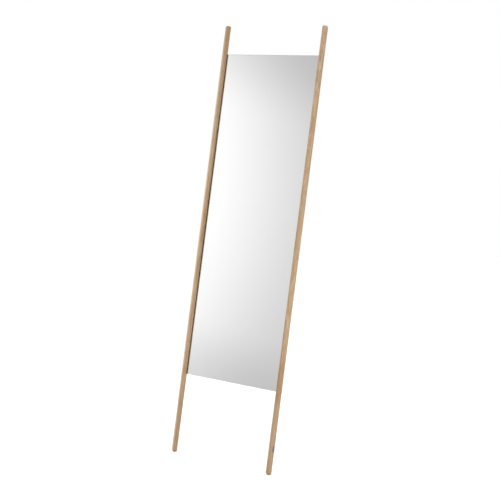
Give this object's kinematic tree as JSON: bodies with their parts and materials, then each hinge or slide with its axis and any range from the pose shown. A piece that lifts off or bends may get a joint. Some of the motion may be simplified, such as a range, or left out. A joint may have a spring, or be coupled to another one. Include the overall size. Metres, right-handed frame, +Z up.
{
  "type": "leaning floor mirror",
  "caption": "Tall frameless mirror held between two round wooden poles that stand on the floor and lean against a wall.",
  "frame": {"origin": "floor level, at the centre of the rectangle that the leaning mirror covers on the floor", "axes": "+Z up; the glass faces -Y; +Y towards the wall that it leans on; +X to the right for someone who looks into the mirror"},
  "size_m": [0.547, 0.4443, 1.9071],
  "materials": {
    "oak": "pale oak, planed and turned, matt oil",
    "mirror": "clear float glass with a ground and polished arris, silvered on its back",
    "silvering": "silver coat under grey protective paint",
    "film": "thin self-adhesive polyethylene film",
    "tape": "double-sided foam tape",
    "board": "MDF with a black matt face",
    "felt": "thin black felt",
    "neoprene": "neoprene",
    "screw_steel": "zinc-plated steel",
    "zinc_steel": "zinc-plated sheet steel",
    "rubber": "soft tan rubber, matt",
    "badge_metal": "blank dark anodised aluminium, satin"
  },
  "bodies": {
    "root": {"left_pole": "oak", "right_pole": "oak", "mirror_glass": "mirror", "silvering": "silvering", "safety_film": "film", "mounting_tapes": "tape", "backing_board": "board", "left_glass_cushion": "felt", "right_glass_cushion": "felt", "setting_pads": "neoprene", "left_board_screws": "screw_steel", "right_board_screws": "screw_steel", "left_foot_pad": "rubber", "right_foot_pad": "rubber", "left_wall_bumper": "rubber", "right_wall_bumper": "rubber", "left_safety_bracket": "zinc_steel", "right_safety_bracket": "zinc_steel", "left_bracket_screws": "screw_steel", "right_bracket_screws": "screw_steel", "badge": "badge_metal"}
  },
  "joints": []
}
